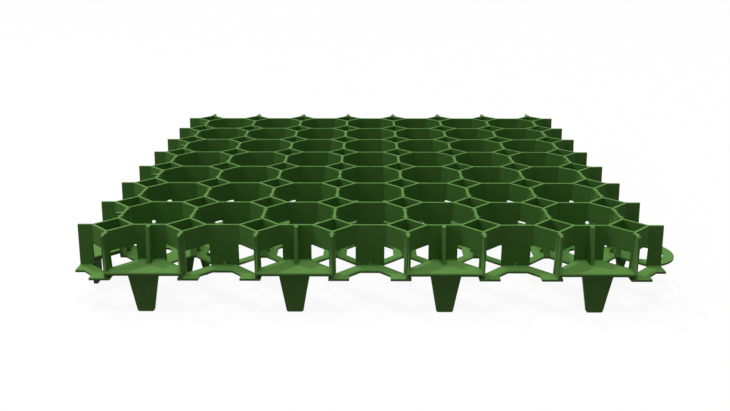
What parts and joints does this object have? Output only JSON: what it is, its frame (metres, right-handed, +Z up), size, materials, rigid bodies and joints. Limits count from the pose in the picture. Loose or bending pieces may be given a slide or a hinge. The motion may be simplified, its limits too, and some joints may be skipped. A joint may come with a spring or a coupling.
{
  "type": "grass paver grid",
  "caption": "Square plastic ground grid of octagonal and small square cells on a perforated base, with link plates and ground blades on two edges and ring tabs on the others.",
  "frame": {"origin": "middle of the bounding box in plan, at the level of the blade tips", "axes": "+Z up, square to the cells; blades along -X and -Y, ring tabs along +X and +Y"},
  "size_m": [0.521, 0.521, 0.0665],
  "materials": {
    "green_plastic": "satin moulded polypropylene or polyethylene, dyed green through"
  },
  "bodies": {
    "root": {"paver_grid": "green_plastic"}
  },
  "joints": []
}
